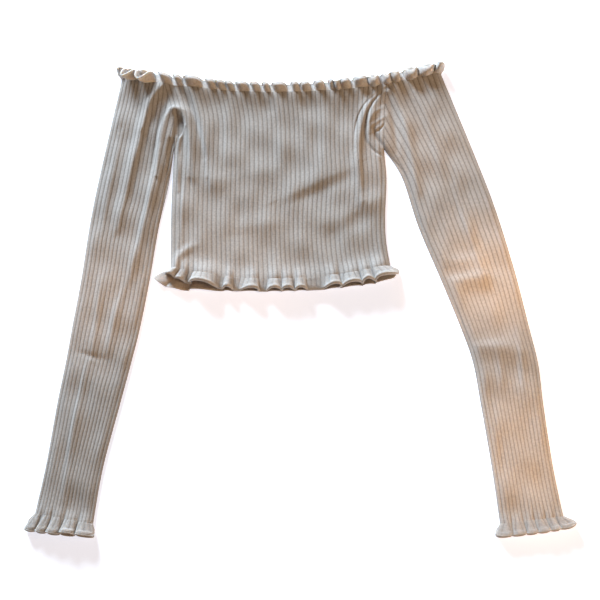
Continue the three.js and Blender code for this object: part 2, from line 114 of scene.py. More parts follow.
# Creases in the upper layer: an arc from, via, to, its width on the left and on the right of
# that direction, and its height. A negative height is a trough.
CREASES = [
    # left sleeve
    ((-172, 300), (-200, 284), (-206, 232), 5.0, 9.0, 6.0),
    ((-196, 266), (-210, 226), (-232, 92), 5.0, 8.0, 5.6),
    ((-169, 291), (-187, 265), (-190, 180), 4.0, 3.0, -2.4),
    ((-185, 200), (-187, 140), (-214, 28), 7.0, 4.4, 4.6),
    ((-234, 225), (-246, 162), (-252, 88), 6.0, 5.0, 2.6),
    ((-250, 24), (-251, -26), (-254, -68), 5.5, 4.0, 2.4),
    ((-218, 20), (-231, -21), (-235, -68), 5.5, 4.0, 2.4),
    ((-273, -67), (-256, -73), (-237, -78), 3.0, 3.0, -1.4),
    ((-259, -80), (-273, -151), (-278, -245), 7.0, 3.0, 2.8),
    # armpit on the left: an arch of cloth over a small hollow, and the side seam's thin roll
    ((-159, 259), (-186, 269), (-184, 165), 7.0, 3.0, 5.8),
    ((-166, 258), (-143, 265), (-140, 165), 9.0, 5.0, 6.8),
    ((-165, 256), (-167, 232), (-171, 182), 3.0, 9.0, 4.6),
    ((-157, 243), (-156, 235), (-158, 225), 3.0, 3.0, -20.0),
    ((-168, 214), (-171, 183), (-168, 148), 3.0, 3.0, -7.0),
    ((-151, 234), (-164, 214), (-158, 145), 2.6, 2.0, 3.6),
    ((-159, 230), (-166, 211), (-163, 170), 1.8, 1.5, 2.2),
    ((-152, 297), (-128, 268), (-118, 165), 16.0, 5.0, 4.8),
    ((-162, 290), (-136, 262), (-124, 190), 3.0, 3.2, -3.0),
    ((-146, 190), (-150, 140), (-152, 70), 5.0, 3.0, 1.8),
    # armpit on the right: a crescent, wrinkles inside it and a sharp crease to the underarm
    ((108, 286), (64, 252), (80, 130), 4.0, 7.0, 4.8),
    ((100, 281), (68, 260), (71, 200), 1.3, 1.3, -2.0),
    ((105, 281), (81, 256), (84, 215), 1.4, 1.4, -2.8),
    ((84, 226), (88, 204), (105, 194), 1.5, 1.5, -3.2),
    ((113, 284), (86, 262), (91, 212), 7.0, 2.6, 4.4),
    ((87, 226), (90, 254), (113, 264), 2.6, 2.2, 0.9),
    ((88, 226), (96, 240), (114, 249), 2.6, 2.2, 1.0),
    ((89, 224), (97, 230), (106, 236), 2.0, 1.8, 0.7),
    ((95, 233), (101, 214), (121, 190), 2.0, 2.0, -5.4),
    ((97, 227), (105, 227), (111, 239), 1.2, 1.2, -1.6),
    ((112, 268), (106, 232), (112, 196), 12.0, 10.0, 3.4),
    # right sleeve
    ((124, 284), (144, 232), (150, 146), 8.0, 5.5, 4.6),
    ((117, 279), (126, 226), (127, 198), 4.0, 4.0, -2.0),
    ((154, 282), (178, 228), (186, 150), 10.0, 7.0, 3.2),
    ((200, 150), (214, 90), (232, 20), 9.0, 5.0, 2.4),
    ((228, 175), (250, 110), (272, 0), 3.0, 2.5, 1.5),
    ((186, 50), (204, 50), (230, 56), 5.0, 9.0, 1.3),
    ((180, 22), (202, 24), (238, 32), 5.0, 15.0, 3.2),
    ((206, -64), (230, -60), (258, -62), 8.0, 15.0, 3.6),
    ((268, -42), (272, -75), (270, -112), 6.0, 4.0, 2.2),
    ((240, -60), (246, -85), (244, -112), 5.0, 4.0, 1.6),
    ((227, -108), (235, -132), (232, -163), 4.0, 4.0, -1.0),
    ((237, -163), (245, -193), (239, -220), 4.0, 4.0, -1.0),
    # body
    ((-26, 123), (26, 145), (67, 162), 8.0, 8.0, -0.8),
    ((-24, 134), (26, 160), (70, 181), 17.0, 9.0, 2.6),
    ((38, 79), (72, 98), (105, 115), 8.0, 8.0, -0.8),
    ((38, 100), (78, 122), (108, 140), 13.0, 9.0, 2.2),
    ((-120, 150), (-80, 168), (-40, 172), 12.0, 12.0, 1.4),
    ((-100, 90), (-60, 104), (0, 100), 14.0, 10.0, 1.4),
    ((-160, 43), (-150, 62), (-135, 70), 5.0, 6.0, 3.0),
    ((-50, 271), (-42, 262), (-33, 253), 8.0, 8.0, -1.4),
    ((-77, 127), (-76, 112), (-74, 100), 6.0, 6.0, -1.2),
    ((-96, 262), (-92, 200), (-96, 150), 12.0, 7.0, 2.0),
    ((-30, 275), (-22, 230), (-24, 180), 12.0, 8.0, 1.8),
    ((28, 268), (36, 220), (30, 170), 12.0, 8.0, 1.6),
]
CREASE_STEPS = 20       # straight steps that stand for a crease's arc
CREASE_END = 0.12       # share of a half wave that is left off at each end of a crease

# Low swells in the cloth, and how far its ribs wander as a share of their pitch. Columns: wave
# length across and along, phase, height.
SWELLS = [(83, 61, 0.4, 0.46), (47, 126, 2.1, 0.46), (121, 44, 3.9, 0.34), (31, 173, 5.2, 0.26),
          (-64, 72, 1.3, 0.42), (-26, 118, 4.4, 0.16)]
WANDER = [(310, 160, 0.7, 0.04), (-190, 230, 2.9, 0.05), (90, 11, 4.6, 0.012)]
WANDER_END = 0.06       # share of the body's width over which that dies away at a side seam

# Frills. Each wave is a flat stretch along the seam and then a crest, and their widths share
# out the seam's length. Columns: flat, crest, and the rise in degrees by which the crest turns
# up; for the neck: flat, crest, the crest's angle at the seam and its angle at the free edge.
NECK_WAVES = [
    (0, 8, 52, 10), (2, 15, 150, 56), (2.5, 20, 150, 60), (9, 14, 60, -34), (6, 9, 56, -30),
    (3.5, 23, 58, -32), (7, 12, 60, -34), (1.5, 11, 58, -30), (2.5, 8, 60, -32),
    (4.5, 15, 62, -34), (5, 10, 60, -32), (5.5, 7.5, 56, -30), (4.5, 18, 60, -34),
    (7.5, 9.5, 62, -32), (2.5, 12, 58, -32), (6, 13, 60, -34), (6.5, 6, 56, -30),
    (0.5, 8, 132, -20), (0.5, 13, 60, -34), (4.5, 19, 60, -34), (0.5, 14, 144, -40),
    (4.5, 11.5, 146, -50), (1.5, 11, 134, -40), (7, 16.5, 146, -55), (2, 18.5, 146, -55),
    (1.5, 11.5, 76, 50),
]
HEM_WAVES = [
    (0, 14, 56), (0, 10, 46), (6, 34, 88), (6, 11, 60), (3, 29, 68), (10, 18, 74),
    (0, 15, 72), (2, 14, 68), (9, 31.5, 76), (1, 26, 74), (0, 14.5, 80), (0, 20, 76), (2, 3, 10),
]
# Where each of these crests is highest, as a share of its width.
HEM_PEAKS = (0.5, 0.5, 0.34, 0.45, 0.72, 0.5, 0.45, 0.4, 0.78, 0.5, 0.4, 0.3, 0.5)
LEFT_CUFF_WAVES = [(1, 9, 26), (2, 11, 36), (1.5, 14, 42), (1.5, 16, 68), (2, 18, 58)]
RIGHT_CUFF_WAVES = [(0, 15, 38), (1.5, 16, 42), (2, 13, 40), (2, 14, 42), (2, 11, 46), (2, 12, 44)]
# Depth of each frill in mm, at even steps along its seam from left to right.
NECK_DEPTHS = (16, 18, 18, 17.5, 17, 16.5, 16.5, 17, 17.5, 19, 19.5, 20, 19)
NECK_SHORT = 0.74       # depth of the neck's frill between its crests, as a share
HEM_DEPTHS = (13, 18, 18.5, 18, 17.5, 17, 17, 17.5, 18, 19, 20)
HEM_BACK_DEPTHS = (32, 24, 19, 16, 14.5, 14, 14, 15, 16, 18, 18)
LEFT_CUFF_DEPTHS = (22, 20.5, 16.5)
RIGHT_CUFF_DEPTHS = (16.5, 17, 15.5)
CORNER_RADIUS = 7.0     # of a frill's two free corners
ROOT_TURN = 0.4         # share of the turn at the seam; it gains the whole turn to the edge
FOLD_OVER = (0.5, 0.82)     # share of the depth over which a crest turns to its edge angle
LEAN_BETWEEN = 0.5      # lean between two crests, as a share of that on a crest
CORNER_DEPTH = 0.4      # depth at the very ends of a frill, as a share
FAN_SHARE = 0.12        # share of the seam over which each end fans out
FRILL_RIBS = (0.5, 0.95)    # share of the depth over which the ribs die away in a frill
LOWER_SHARE = 0.25      # a lower frill turns up by this share of the one above it
LOWER_RIM = 0.7         # radius of its overlocked bead
FRILL_STATIONS = 2.6    # columns of the grid in one unit of a wave's width
FRILL_LINES, BEAD_LINES = 12, 9     # rows of the grid in a frill's cloth and in its bead
SEAM_POINTS, CUFF_POINTS = 401, 201     # along the seams of the neck and hem, and of a cuff
NECK_LENGTH = 437       # of the neck's seam in mm

# The cloth beside a frill rises with it: height beside a crest that turns up by SWELL_RISE
# degrees, and how far into the cloth it reaches.
SWELL_RISE = 60
HEM_SWELL = dict(power=1.2, height=3.6, reach=12.0, peaks=HEM_PEAKS)
CUFF_SWELL = dict(power=0.65, height=3.0, reach=8.0)
# It also rises all along the gathered seams of the neck and the hem.
NECK_RISE, NECK_REACH = 3.2, 15.0
HEM_RISE, HEM_REACH = 3.6, 14.0
HEM_END = 0.03          # share of the hem's width over which its swell dies away at both ends


# Curves and relief


def smoothstep(value, low, high):
    """0 below low, 1 above high, and 3 s ** 2 - 2 s ** 3 between them."""
    share = np.clip((value - low) / (high - low), 0, 1)
    return share * share * (3 - 2 * share)


def mix(a, b, share):
    """From a at share 0 to b at share 1."""
    return a + (b - a) * share


def spline(points, at):
    """Smooth curve through evenly spaced points: between points 1 and 2 of four in a row, the
    cubic whose slope at each is half the step between its neighbours."""
    points = np.asarray(points, float)
    last = len(points) - 1
    place = np.clip(np.asarray(at, float), 0, 1) * last
    k = np.minimum(place.astype(int), last - 1)
    t = (place - k).reshape(-1, *[1] * (points.ndim - 1))
    p0, p1, p2, p3 = (points[np.clip(k + i, 0, last)] for i in (-1, 0, 1, 2))
    v0, v1 = (p2 - p0) / 2, (p3 - p1) / 2
    return ((2 * p1 - 2 * p2 + v0 + v1) * t + (3 * p2 - 3 * p1 - 2 * v0 - v1)) * t * t + v0 * t + p1


def rib(phase):
    """Section of the ribs: 0 in the groove and 1 on the crest, |sin(pi phase)| ** RIB_POWER."""
    return np.abs(np.sin(np.pi * phase)) ** RIB_POWER


def rolled(distance):
    """Quarter circle from 0 at a pressed edge to 1 a radius inside it."""
    return np.sqrt(1 - (1 - np.clip(distance / FOLD_ROUND, 0, 1)) ** 2)


def crease_height(x, y):
    """Sum over the creases of height * swell * exp(-(d / width) ** 2), where d is the distance
    to the arc, width is the one for that side, and swell is a half sine along it."""
    total = np.zeros_like(x)
    t = np.linspace(0, 1, CREASE_STEPS + 1)[:, None]
    for start, via, end, left, right, height in CREASES:
        a, b, c = (np.array(p, float) for p in (start, via, end))
        line = (1 - t) ** 2 * a + 2 * t * (1 - t) * b + t ** 2 * c
        reach = 3 * max(left, right)
        near = ((x > line[:, 0].min() - reach) & (x < line[:, 0].max() + reach)
                & (y > line[:, 1].min() - reach) & (y < line[:, 1].max() + reach))
        if not near.any():
            continue
        px, py = x[near][:, None], y[near][:, None]
        run = line[1:] - line[:-1]
        dx, dy = px - line[:-1, 0], py - line[:-1, 1]
        share = np.clip((dx * run[:, 0] + dy * run[:, 1]) / (run ** 2).sum(1), 0, 1)
        off_x, off_y = dx - share * run[:, 0], dy - share * run[:, 1]
        distance = np.hypot(off_x, off_y)
        nearest = distance.argmin(1)
        row = np.arange(len(nearest))
        on_left = (run[:, 0] * off_y - run[:, 1] * off_x)[row, nearest] > 0
        width = np.where(on_left, left, right)
        along = (nearest + share[row, nearest]) / CREASE_STEPS
        swell = np.sin(np.pi * mix(CREASE_END, 1 - CREASE_END, along))
        total[near] += height * swell * np.exp(-(distance[row, nearest] / width) ** 2)
    return total


def crossed_waves(table, x, y):
    """Sum of slow sine waves that cross one another at different angles."""
    total = np.zeros_like(x)
    for across, along, phase, height in table:
        total += height * np.sin(2 * np.pi * (x / across + y / along) + phase)
    return total


def wandered(x, y, fade):
    """Ribs wander a little to either side: columns of the grid move along x."""
    return x + RIB_PITCH * crossed_waves(WANDER, x, y) * fade


def lift(x, y, fade):
    """How far the upper layer stands off the lower one: h is the sum of slack, swells and
    creases, and (h + sqrt(h ** 2 + TROUGH_ROUND ** 2)) / 2 keeps the deepest troughs above the
    layer below. At an edge it comes down to 0."""
    raw = fade * (SLACK + crossed_waves(SWELLS, x, y) + crease_height(x, y))
    return (raw + np.sqrt(raw ** 2 + TROUGH_ROUND ** 2) - TROUGH_ROUND * (1 - fade)) / 2


# Meshes


class Shell:
    """Points and faces of one closed wall, with a knit map in ribs across and rib widths
    along, and for each point how high it is on its rib and how far it is on the overlocked
    rim."""

    def __init__(self):
        self.points, self.crest, self.rim = [], [], []
        self.quads, self.quad_maps = [], []
        self.triangles, self.triangle_maps = [], []
        self.count = 0

    def add(self, points, crest=1.0, rim=0.0):
        """Adds a grid of points and returns their numbers as a grid."""
        shape = points.shape[:2]
        ids = self.count + np.arange(shape[0] * shape[1]).reshape(shape)
        self.count += ids.size
        self.points.append(points.reshape(-1, 3))
        self.crest.append(np.broadcast_to(crest, shape).ravel())
        self.rim.append(np.broadcast_to(rim, shape).ravel())
        return ids

    def skin(self, ids, knit, flip=False):
        """Quads over a grid of point numbers. They face up where rows run to +Y and columns
        to +X."""
        def corners(grid):
            four = [grid[:-1, :-1], grid[:-1, 1:], grid[1:, 1:], grid[1:, :-1]]
            if flip:
                four.reverse()
            return np.stack([g.reshape(-1, *grid.shape[2:]) for g in four], 1)
        self.quads.append(corners(ids))
        self.quad_maps.append(corners(knit))

    def bridge(self, fine, coarse, fine_map, flip=False):
        """Triangles from a fine row to a coarse one beside it: each coarse step fans out to
        the fine steps opposite it, and one more triangle closes it."""
        ratio = (len(fine) - 1) // (len(coarse) - 1)
        fan = np.stack([np.repeat(coarse[:-1], ratio), fine[1:], fine[:-1]], 1)
        close = np.stack([coarse[:-1], coarse[1:], fine[ratio::ratio]], 1)
        coarse_map = fine_map[::ratio]
        fan_map = np.stack([np.repeat(coarse_map[:-1], ratio, 0), fine_map[1:], fine_map[:-1]], 1)
        close_map = np.stack([coarse_map[:-1], coarse_map[1:], fine_map[ratio::ratio]], 1)
        for faces, maps in ((fan, fan_map), (close, close_map)):
            self.triangles.append(faces[:, ::-1] if flip else faces)
            self.triangle_maps.append(maps[:, ::-1] if flip else maps)

    def object(self, name, material):
        """Makes the piece. The quads are smooth; the triangles of the end walls are flat with
        sharp edges, so that they don't darken the cloth beside them."""
        points = np.concatenate(self.points) * MM + PLACE
        quads, triangles = np.concatenate(self.quads), np.concatenate(self.triangles)
        loops = np.concatenate([quads.ravel(), triangles.ravel()])
        maps = np.concatenate([np.concatenate(self.quad_maps).reshape(-1, 2),
                               np.concatenate(self.triangle_maps).reshape(-1, 2)])
        starts = np.concatenate([np.arange(len(quads)) * 4,
                                 quads.size + np.arange(len(triangles)) * 3])
        mesh = bpy.data.meshes.new(name)
        mesh.vertices.add(len(points))
        mesh.vertices.foreach_set("co", points.astype(np.float32).ravel())
        mesh.loops.add(len(loops))
        mesh.loops.foreach_set("vertex_index", loops.astype(np.int32))
        mesh.polygons.add(len(starts))
        mesh.polygons.foreach_set("loop_start", starts.astype(np.int32))
        smooth = np.arange(len(starts)) < len(quads)
        mesh.polygons.foreach_set("use_smooth", smooth)
        mesh.uv_layers.new(name="knit").data.foreach_set("uv", maps.astype(np.float32).ravel())
        for label, values in (("crest", self.crest), ("rim", self.rim)):
            layer = mesh.attributes.new(label, "FLOAT", "POINT")
            layer.data.foreach_set("value", np.concatenate(values).astype(np.float32))
        mesh.update(calc_edges=True)
        edge_of_corner = np.empty(len(loops), np.int32)
        mesh.loops.foreach_get("edge_index", edge_of_corner)
        sharp = np.zeros(len(mesh.edges), bool)
        sharp[edge_of_corner[quads.size:]] = True
        mesh.edges.foreach_set("use_edge_sharp", sharp)
        mesh.materials.append(material)
        piece = bpy.data.objects.new(name, mesh)
        bpy.context.scene.collection.objects.link(piece)
        return piece


def grid_points(x, y, z):
    """One grid of points from three grids of coordinates."""
    return np.stack(np.broadcast_arrays(x, y, z), -1)


def wall(shell, top, bottom, knit, crest):
    """Closed wall between a fine upper grid and a coarse lower one: both skins, and a bridge
    along each of the four sides."""
    upper = shell.add(top, crest)
    lower = shell.add(bottom)
    shell.skin(upper, knit)
    shell.skin(lower, knit[::COARSE, ::COARSE], flip=True)
    shell.bridge(upper[0], lower[0], knit[0])
    shell.bridge(upper[-1], lower[-1], knit[-1], flip=True)
    shell.bridge(upper[:, 0], lower[:, 0], knit[:, 0], flip=True)
    shell.bridge(upper[:, -1], lower[:, -1], knit[:, -1])


# Body

body_across = np.linspace(0, 1, BODY_RIBS * RIB_STEPS + 1)
body_up = np.linspace(0, 1, BODY_ROWS + 1)


def body_edge(up, side):
    """Points on the body's left edge, side -1, or its right one, up from the hem."""
    return spline(BODY_SECTIONS[:, :2] if side < 0 else BODY_SECTIONS[:, 2:4], up)


def body_place(across, up):
    """Point between the two edges at the same height, lowered by sag * 4 * a * (1 - a)."""
    across, up = np.atleast_1d(across), np.atleast_1d(up)
    left, right = body_edge(up, -1)[:, None], body_edge(up, 1)[:, None]
    place = left + (right - left) * across[None, :, None]
    place[..., 1] -= spline(BODY_SECTIONS[:, 4], up)[:, None] * 4 * across * (1 - across)
    return place[..., 0], place[..., 1]


def body_fade(across, up):
    """Slack and folds die away at the side seams, not at the armholes, the neck and the hem."""
    width = (body_edge(up, 1) - body_edge(up, -1))[:, :1]
    to_side = np.minimum(across, 1 - across)[None] * width
    armhole = smoothstep(up, *ARMHOLE_FADE)[:, None]
    return mix(smoothstep(to_side, 0, EDGE_FADE), 1, armhole)


def side_roll(across, up):
    """1 inside and along the armholes, falling to 0 in a quarter circle at the side seams."""
    width = (body_edge(up, 1) - body_edge(up, -1))[:, :1]
    to_side = np.minimum(across, 1 - across)[None] * width
    armhole = smoothstep(up, *ARMHOLE_ROLL)[:, None]
    return mix(rolled(to_side), 1, armhole)


def wave_lift(waves, at, power, peaks=None):
    """How far the crests have risen at a share of the seam, from 0 to 1, which row of the
    table rises there, and how far the cloth flares to the side. A crest is
    sin(pi u) ** power with u from 0 to 1 across it; a peak to one side turns u into the power
    of u that is half there."""
    flat, crest = np.array(waves, float)[:, :2].T
    ends = (flat + crest).cumsum()
    middle = ends - crest / 2
    place = np.atleast_1d(at)[:, None] * ends[-1]
    u = np.clip(0.5 + (place - middle) / crest, 0, 1)
    if peaks is not None:
        u = u ** (np.log(0.5) / np.log(np.array(peaks)))
    risen = np.sin(np.pi * u) ** power
    flare = -crest * np.sin(2 * np.pi * u)
    return risen.max(1), risen.argmax(1), flare.sum(1)


def edge_swell(waves, at, distance, power, height, reach, peaks=None):
    """The cloth next to a frill rises with its crests: height * rise / SWELL_RISE * risen,
    fading as exp(-(distance / reach) ** 2)."""
    risen, row, _ = wave_lift(waves, at, power, peaks)
    rise = np.array(waves, float)[row, 2]
    return height * rise / SWELL_RISE * risen * np.exp(-(distance / reach) ** 2)


def neck_swell(x, y):
    """The cloth rises to the gathered seam of the neck: NECK_RISE * exp(-(d / reach) ** 2), d
    being the distance down from the neck's line."""
    line = neck_line()
    below = np.interp(x, line[:, 0], line[:, 1]) - y
    return NECK_RISE * np.exp(-(np.maximum(below, 0) / NECK_REACH) ** 2)


def hem_ends(across):
    """The swell over the hem's crests dies away at both side seams."""
    return smoothstep(np.minimum(across, 1 - across), 0, HEM_END)


def body_front(material):
    """Upper layer of the body. Height of its top: the lower layer, lift, the swells beside the
    frills and the rib, rolled down at the side seams; its inside follows without the ribs."""
    x, y = body_place(body_across, body_up)
    fade = body_fade(body_across, body_up)
    x = wandered(x, y, smoothstep(np.minimum(body_across, 1 - body_across), 0, WANDER_END))
    swell = edge_swell(HEM_WAVES, body_across, y - y[:1], **HEM_SWELL)
    swell += HEM_RISE * np.exp(-((y - y[:1]) / HEM_REACH) ** 2)
    inner = UPPER + lift(x, y, fade) + neck_swell(x, y) + swell * hem_ends(body_across)
    roll = side_roll(body_across, body_up)
    crest = rib(BODY_RIBS * body_across)
    top = mix(UPPER + FRONT_EDGE, inner + CLOTH + RIB_HEIGHT * crest, roll)
    knit = np.stack(np.broadcast_arrays(BODY_RIBS * body_across, y / RIB_PITCH), -1)
    shell = Shell()
    coarse = (slice(None, None, COARSE), slice(None, None, COARSE))
    inside = grid_points(x[coarse], y[coarse], inner[coarse])
    wall(shell, grid_points(x, y, top), inside, knit, crest)
    return shell.object("rib_body_front", material)


def body_back(material):
    """Lower layer: plain inside, and outside the grooves between its ribs, which rest on the
    floor. Its rows are coarse, because the ribs run straight down."""
    up = body_up[::COARSE]
    x, y = body_place(body_across, up)
    crest = np.broadcast_to(rib(BODY_RIBS * body_across), x.shape)
    under = mix(CLOTH - BACK_EDGE, UNDER_GROOVE * (1 - crest), side_roll(body_across, up))
    shell = Shell()
    knit = np.stack(np.broadcast_arrays(BODY_RIBS * body_across, y / RIB_PITCH), -1)
    lower = shell.add(grid_points(x, y, under), crest)
    upper = shell.add(grid_points(x[:, ::COARSE], y[:, ::COARSE], CLOTH))
    shell.skin(lower, knit, flip=True)
    shell.skin(upper, knit[:, ::COARSE])
    shell.bridge(lower[0], upper[0], knit[0], flip=True)
    shell.bridge(lower[-1], upper[-1], knit[-1])
    shell.bridge(lower[:, 0], upper[:, 0], knit[:, 0])
    shell.bridge(lower[:, -1], upper[:, -1], knit[:, -1], flip=True)
    return shell.object("rib_body_back", material)


# Sleeves


def sleeve_top(sleeve, share):
    """Along the neck from the outer corner to the armhole, then down it to the underarm."""
    share = np.atleast_1d(share)
    neck_share = sleeve["neck_ribs"] / SLEEVE_RIBS
    offset = np.array([sleeve["side"] * STITCH_GAP, 0.0])
    seam_top = body_edge(np.ones(1), sleeve["side"])[0] + offset
    corner = np.array(sleeve["corner"], float)
    on_neck = mix(corner, seam_top, np.clip(share / neck_share, 0, 1)[:, None])
    down = np.clip((share - neck_share) / (1 - neck_share), 0, 1)
    on_armhole = body_edge(mix(1, UNDERARM, down), sleeve["side"]) + offset
    return np.where((share <= neck_share)[:, None], on_neck, on_armhole)


def sleeve_place(sleeve, share, down):
    """Lines down the sleeve: a smooth curve from its top through every section, at a share of
    the width from the outer fold. down runs from 0 at the top to 1 at the cuff."""
    sections = sleeve["sections"]
    outer, inner = sections[:, 0:2], sections[:, 2:4]
    lines = outer[:, None] + (inner - outer)[:, None] * share[None, :, None]
    place = spline(np.concatenate([sleeve_top(sleeve, share)[None], lines]), down)
    return place[..., 0], place[..., 1]


def run_along(x, y):
    """Distance of each point of a row from the row's first, along the row."""
    step = np.hypot(np.diff(x, axis=1), np.diff(y, axis=1))
    return np.concatenate([np.zeros((len(x), 1)), step.cumsum(1)], 1)


def sleeve(name, shape, cuff_waves, material):
    """Tube pressed flat: a ring of the ribbed upper layer and the ribbed underside, rolled at
    both folds, and a plainer ring for the hollow. The upper layer's height adds up as the
    body's does, and past its inner fold the lower layer shows as a lip."""
    sections = len(shape["sections"])
    head = np.linspace(0, 1, SLEEVE_HEAD_ROWS + 1)[:-1]
    down = np.concatenate([head, np.linspace(1, sections, SLEEVE_ROWS + 1)]) / sections
    share = np.linspace(0, 1, SLEEVE_RIBS * RIB_STEPS + 1)
    lips = np.maximum(0, spline(np.concatenate([[0], shape["sections"][:, 4]]), down))[:, None]
    at = (down * sections)[:, None]
    # The table of a cuff's waves runs from left to right, so it starts at the outer fold on
    # the left sleeve and at the inner one on the right.
    on_cuff = share if shape["side"] < 0 else 1 - share
    x, y = sleeve_place(shape, share, down)
    x = wandered(x, y, np.sin(np.pi * share))
    run = run_along(x, y)
    width = run[:, -1:]
    to_inner = np.maximum(0, width - run - lips)
    cuff_distance = np.hypot(x - x[-1:], y - y[-1:])
    swell = edge_swell(cuff_waves, on_cuff, cuff_distance, **CUFF_SWELL)
    crest = np.broadcast_to(rib(SLEEVE_RIBS * share), x.shape)
    # Slack and folds die away at both folds, but not along the armhole.
    inner_fade = mix(1, smoothstep(to_inner, 0, EDGE_FADE), smoothstep(at, 0, 1))
    fade = smoothstep(run, 0, EDGE_FADE) * inner_fade
    cover = UPPER + CLOTH + lift(x, y, fade) + neck_swell(x, y) * fade + RIB_HEIGHT * crest + swell
    roll = rolled(run) * rolled(to_inner)
    lip_height = FOLD_MIDDLE + UNDER_GROOVE * (crest - 1) * rolled(width - run)
    top = mix(lip_height, cover, roll)
    under = mix(FOLD_MIDDLE, UNDER_GROOVE * (1 - crest), rolled(run) * rolled(width - run))

    shell = Shell()
    top_ids = shell.add(grid_points(x, y, top), crest)
    under_ids = shell.add(grid_points(x, y, under)[:, 1:-1], crest[:, 1:-1])
    ring = np.concatenate([top_ids, under_ids[:, ::-1], top_ids[:, :1]], 1)
    along = y / RIB_PITCH
    across = np.broadcast_to(SLEEVE_RIBS * share, x.shape)
    knit_top = np.stack([across, along], -1)
    knit_under = np.stack([2 * SLEEVE_RIBS - across, along], -1)
    knit = np.concatenate([knit_top, knit_under[:, :-1][:, ::-1]], 1)

    inset_share = mix(HOLLOW_INSET / width, 1 - (HOLLOW_INSET + lips) / width,
                      share[None, ::COARSE])
    rows = slice(None, None, COARSE)
    hollow_x, hollow_y, ceiling = [
        np.stack([np.interp(s, share, line) for s, line in zip(inset_share[rows], grid[rows])])
        for grid in (x, y, cover - CLOTH - RIB_HEIGHT * crest)]
    ceiling_ids = shell.add(grid_points(hollow_x, hollow_y, ceiling))
    floor_ids = shell.add(grid_points(hollow_x, hollow_y, CLOTH)[:, 1:-1])
    hollow = np.concatenate([ceiling_ids, floor_ids[:, ::-1], ceiling_ids[:, :1]], 1)
    knit_hollow = knit[::COARSE, ::COARSE]

    mirrored = shape["side"] > 0
    shell.skin(ring, knit, flip=not mirrored)
    shell.skin(hollow, knit_hollow, flip=mirrored)
    shell.bridge(ring[0], hollow[0], knit[0], flip=not mirrored)
    shell.bridge(ring[-1], hollow[-1], knit[-1], flip=mirrored)
    return shell.object(name, material)


# Frills


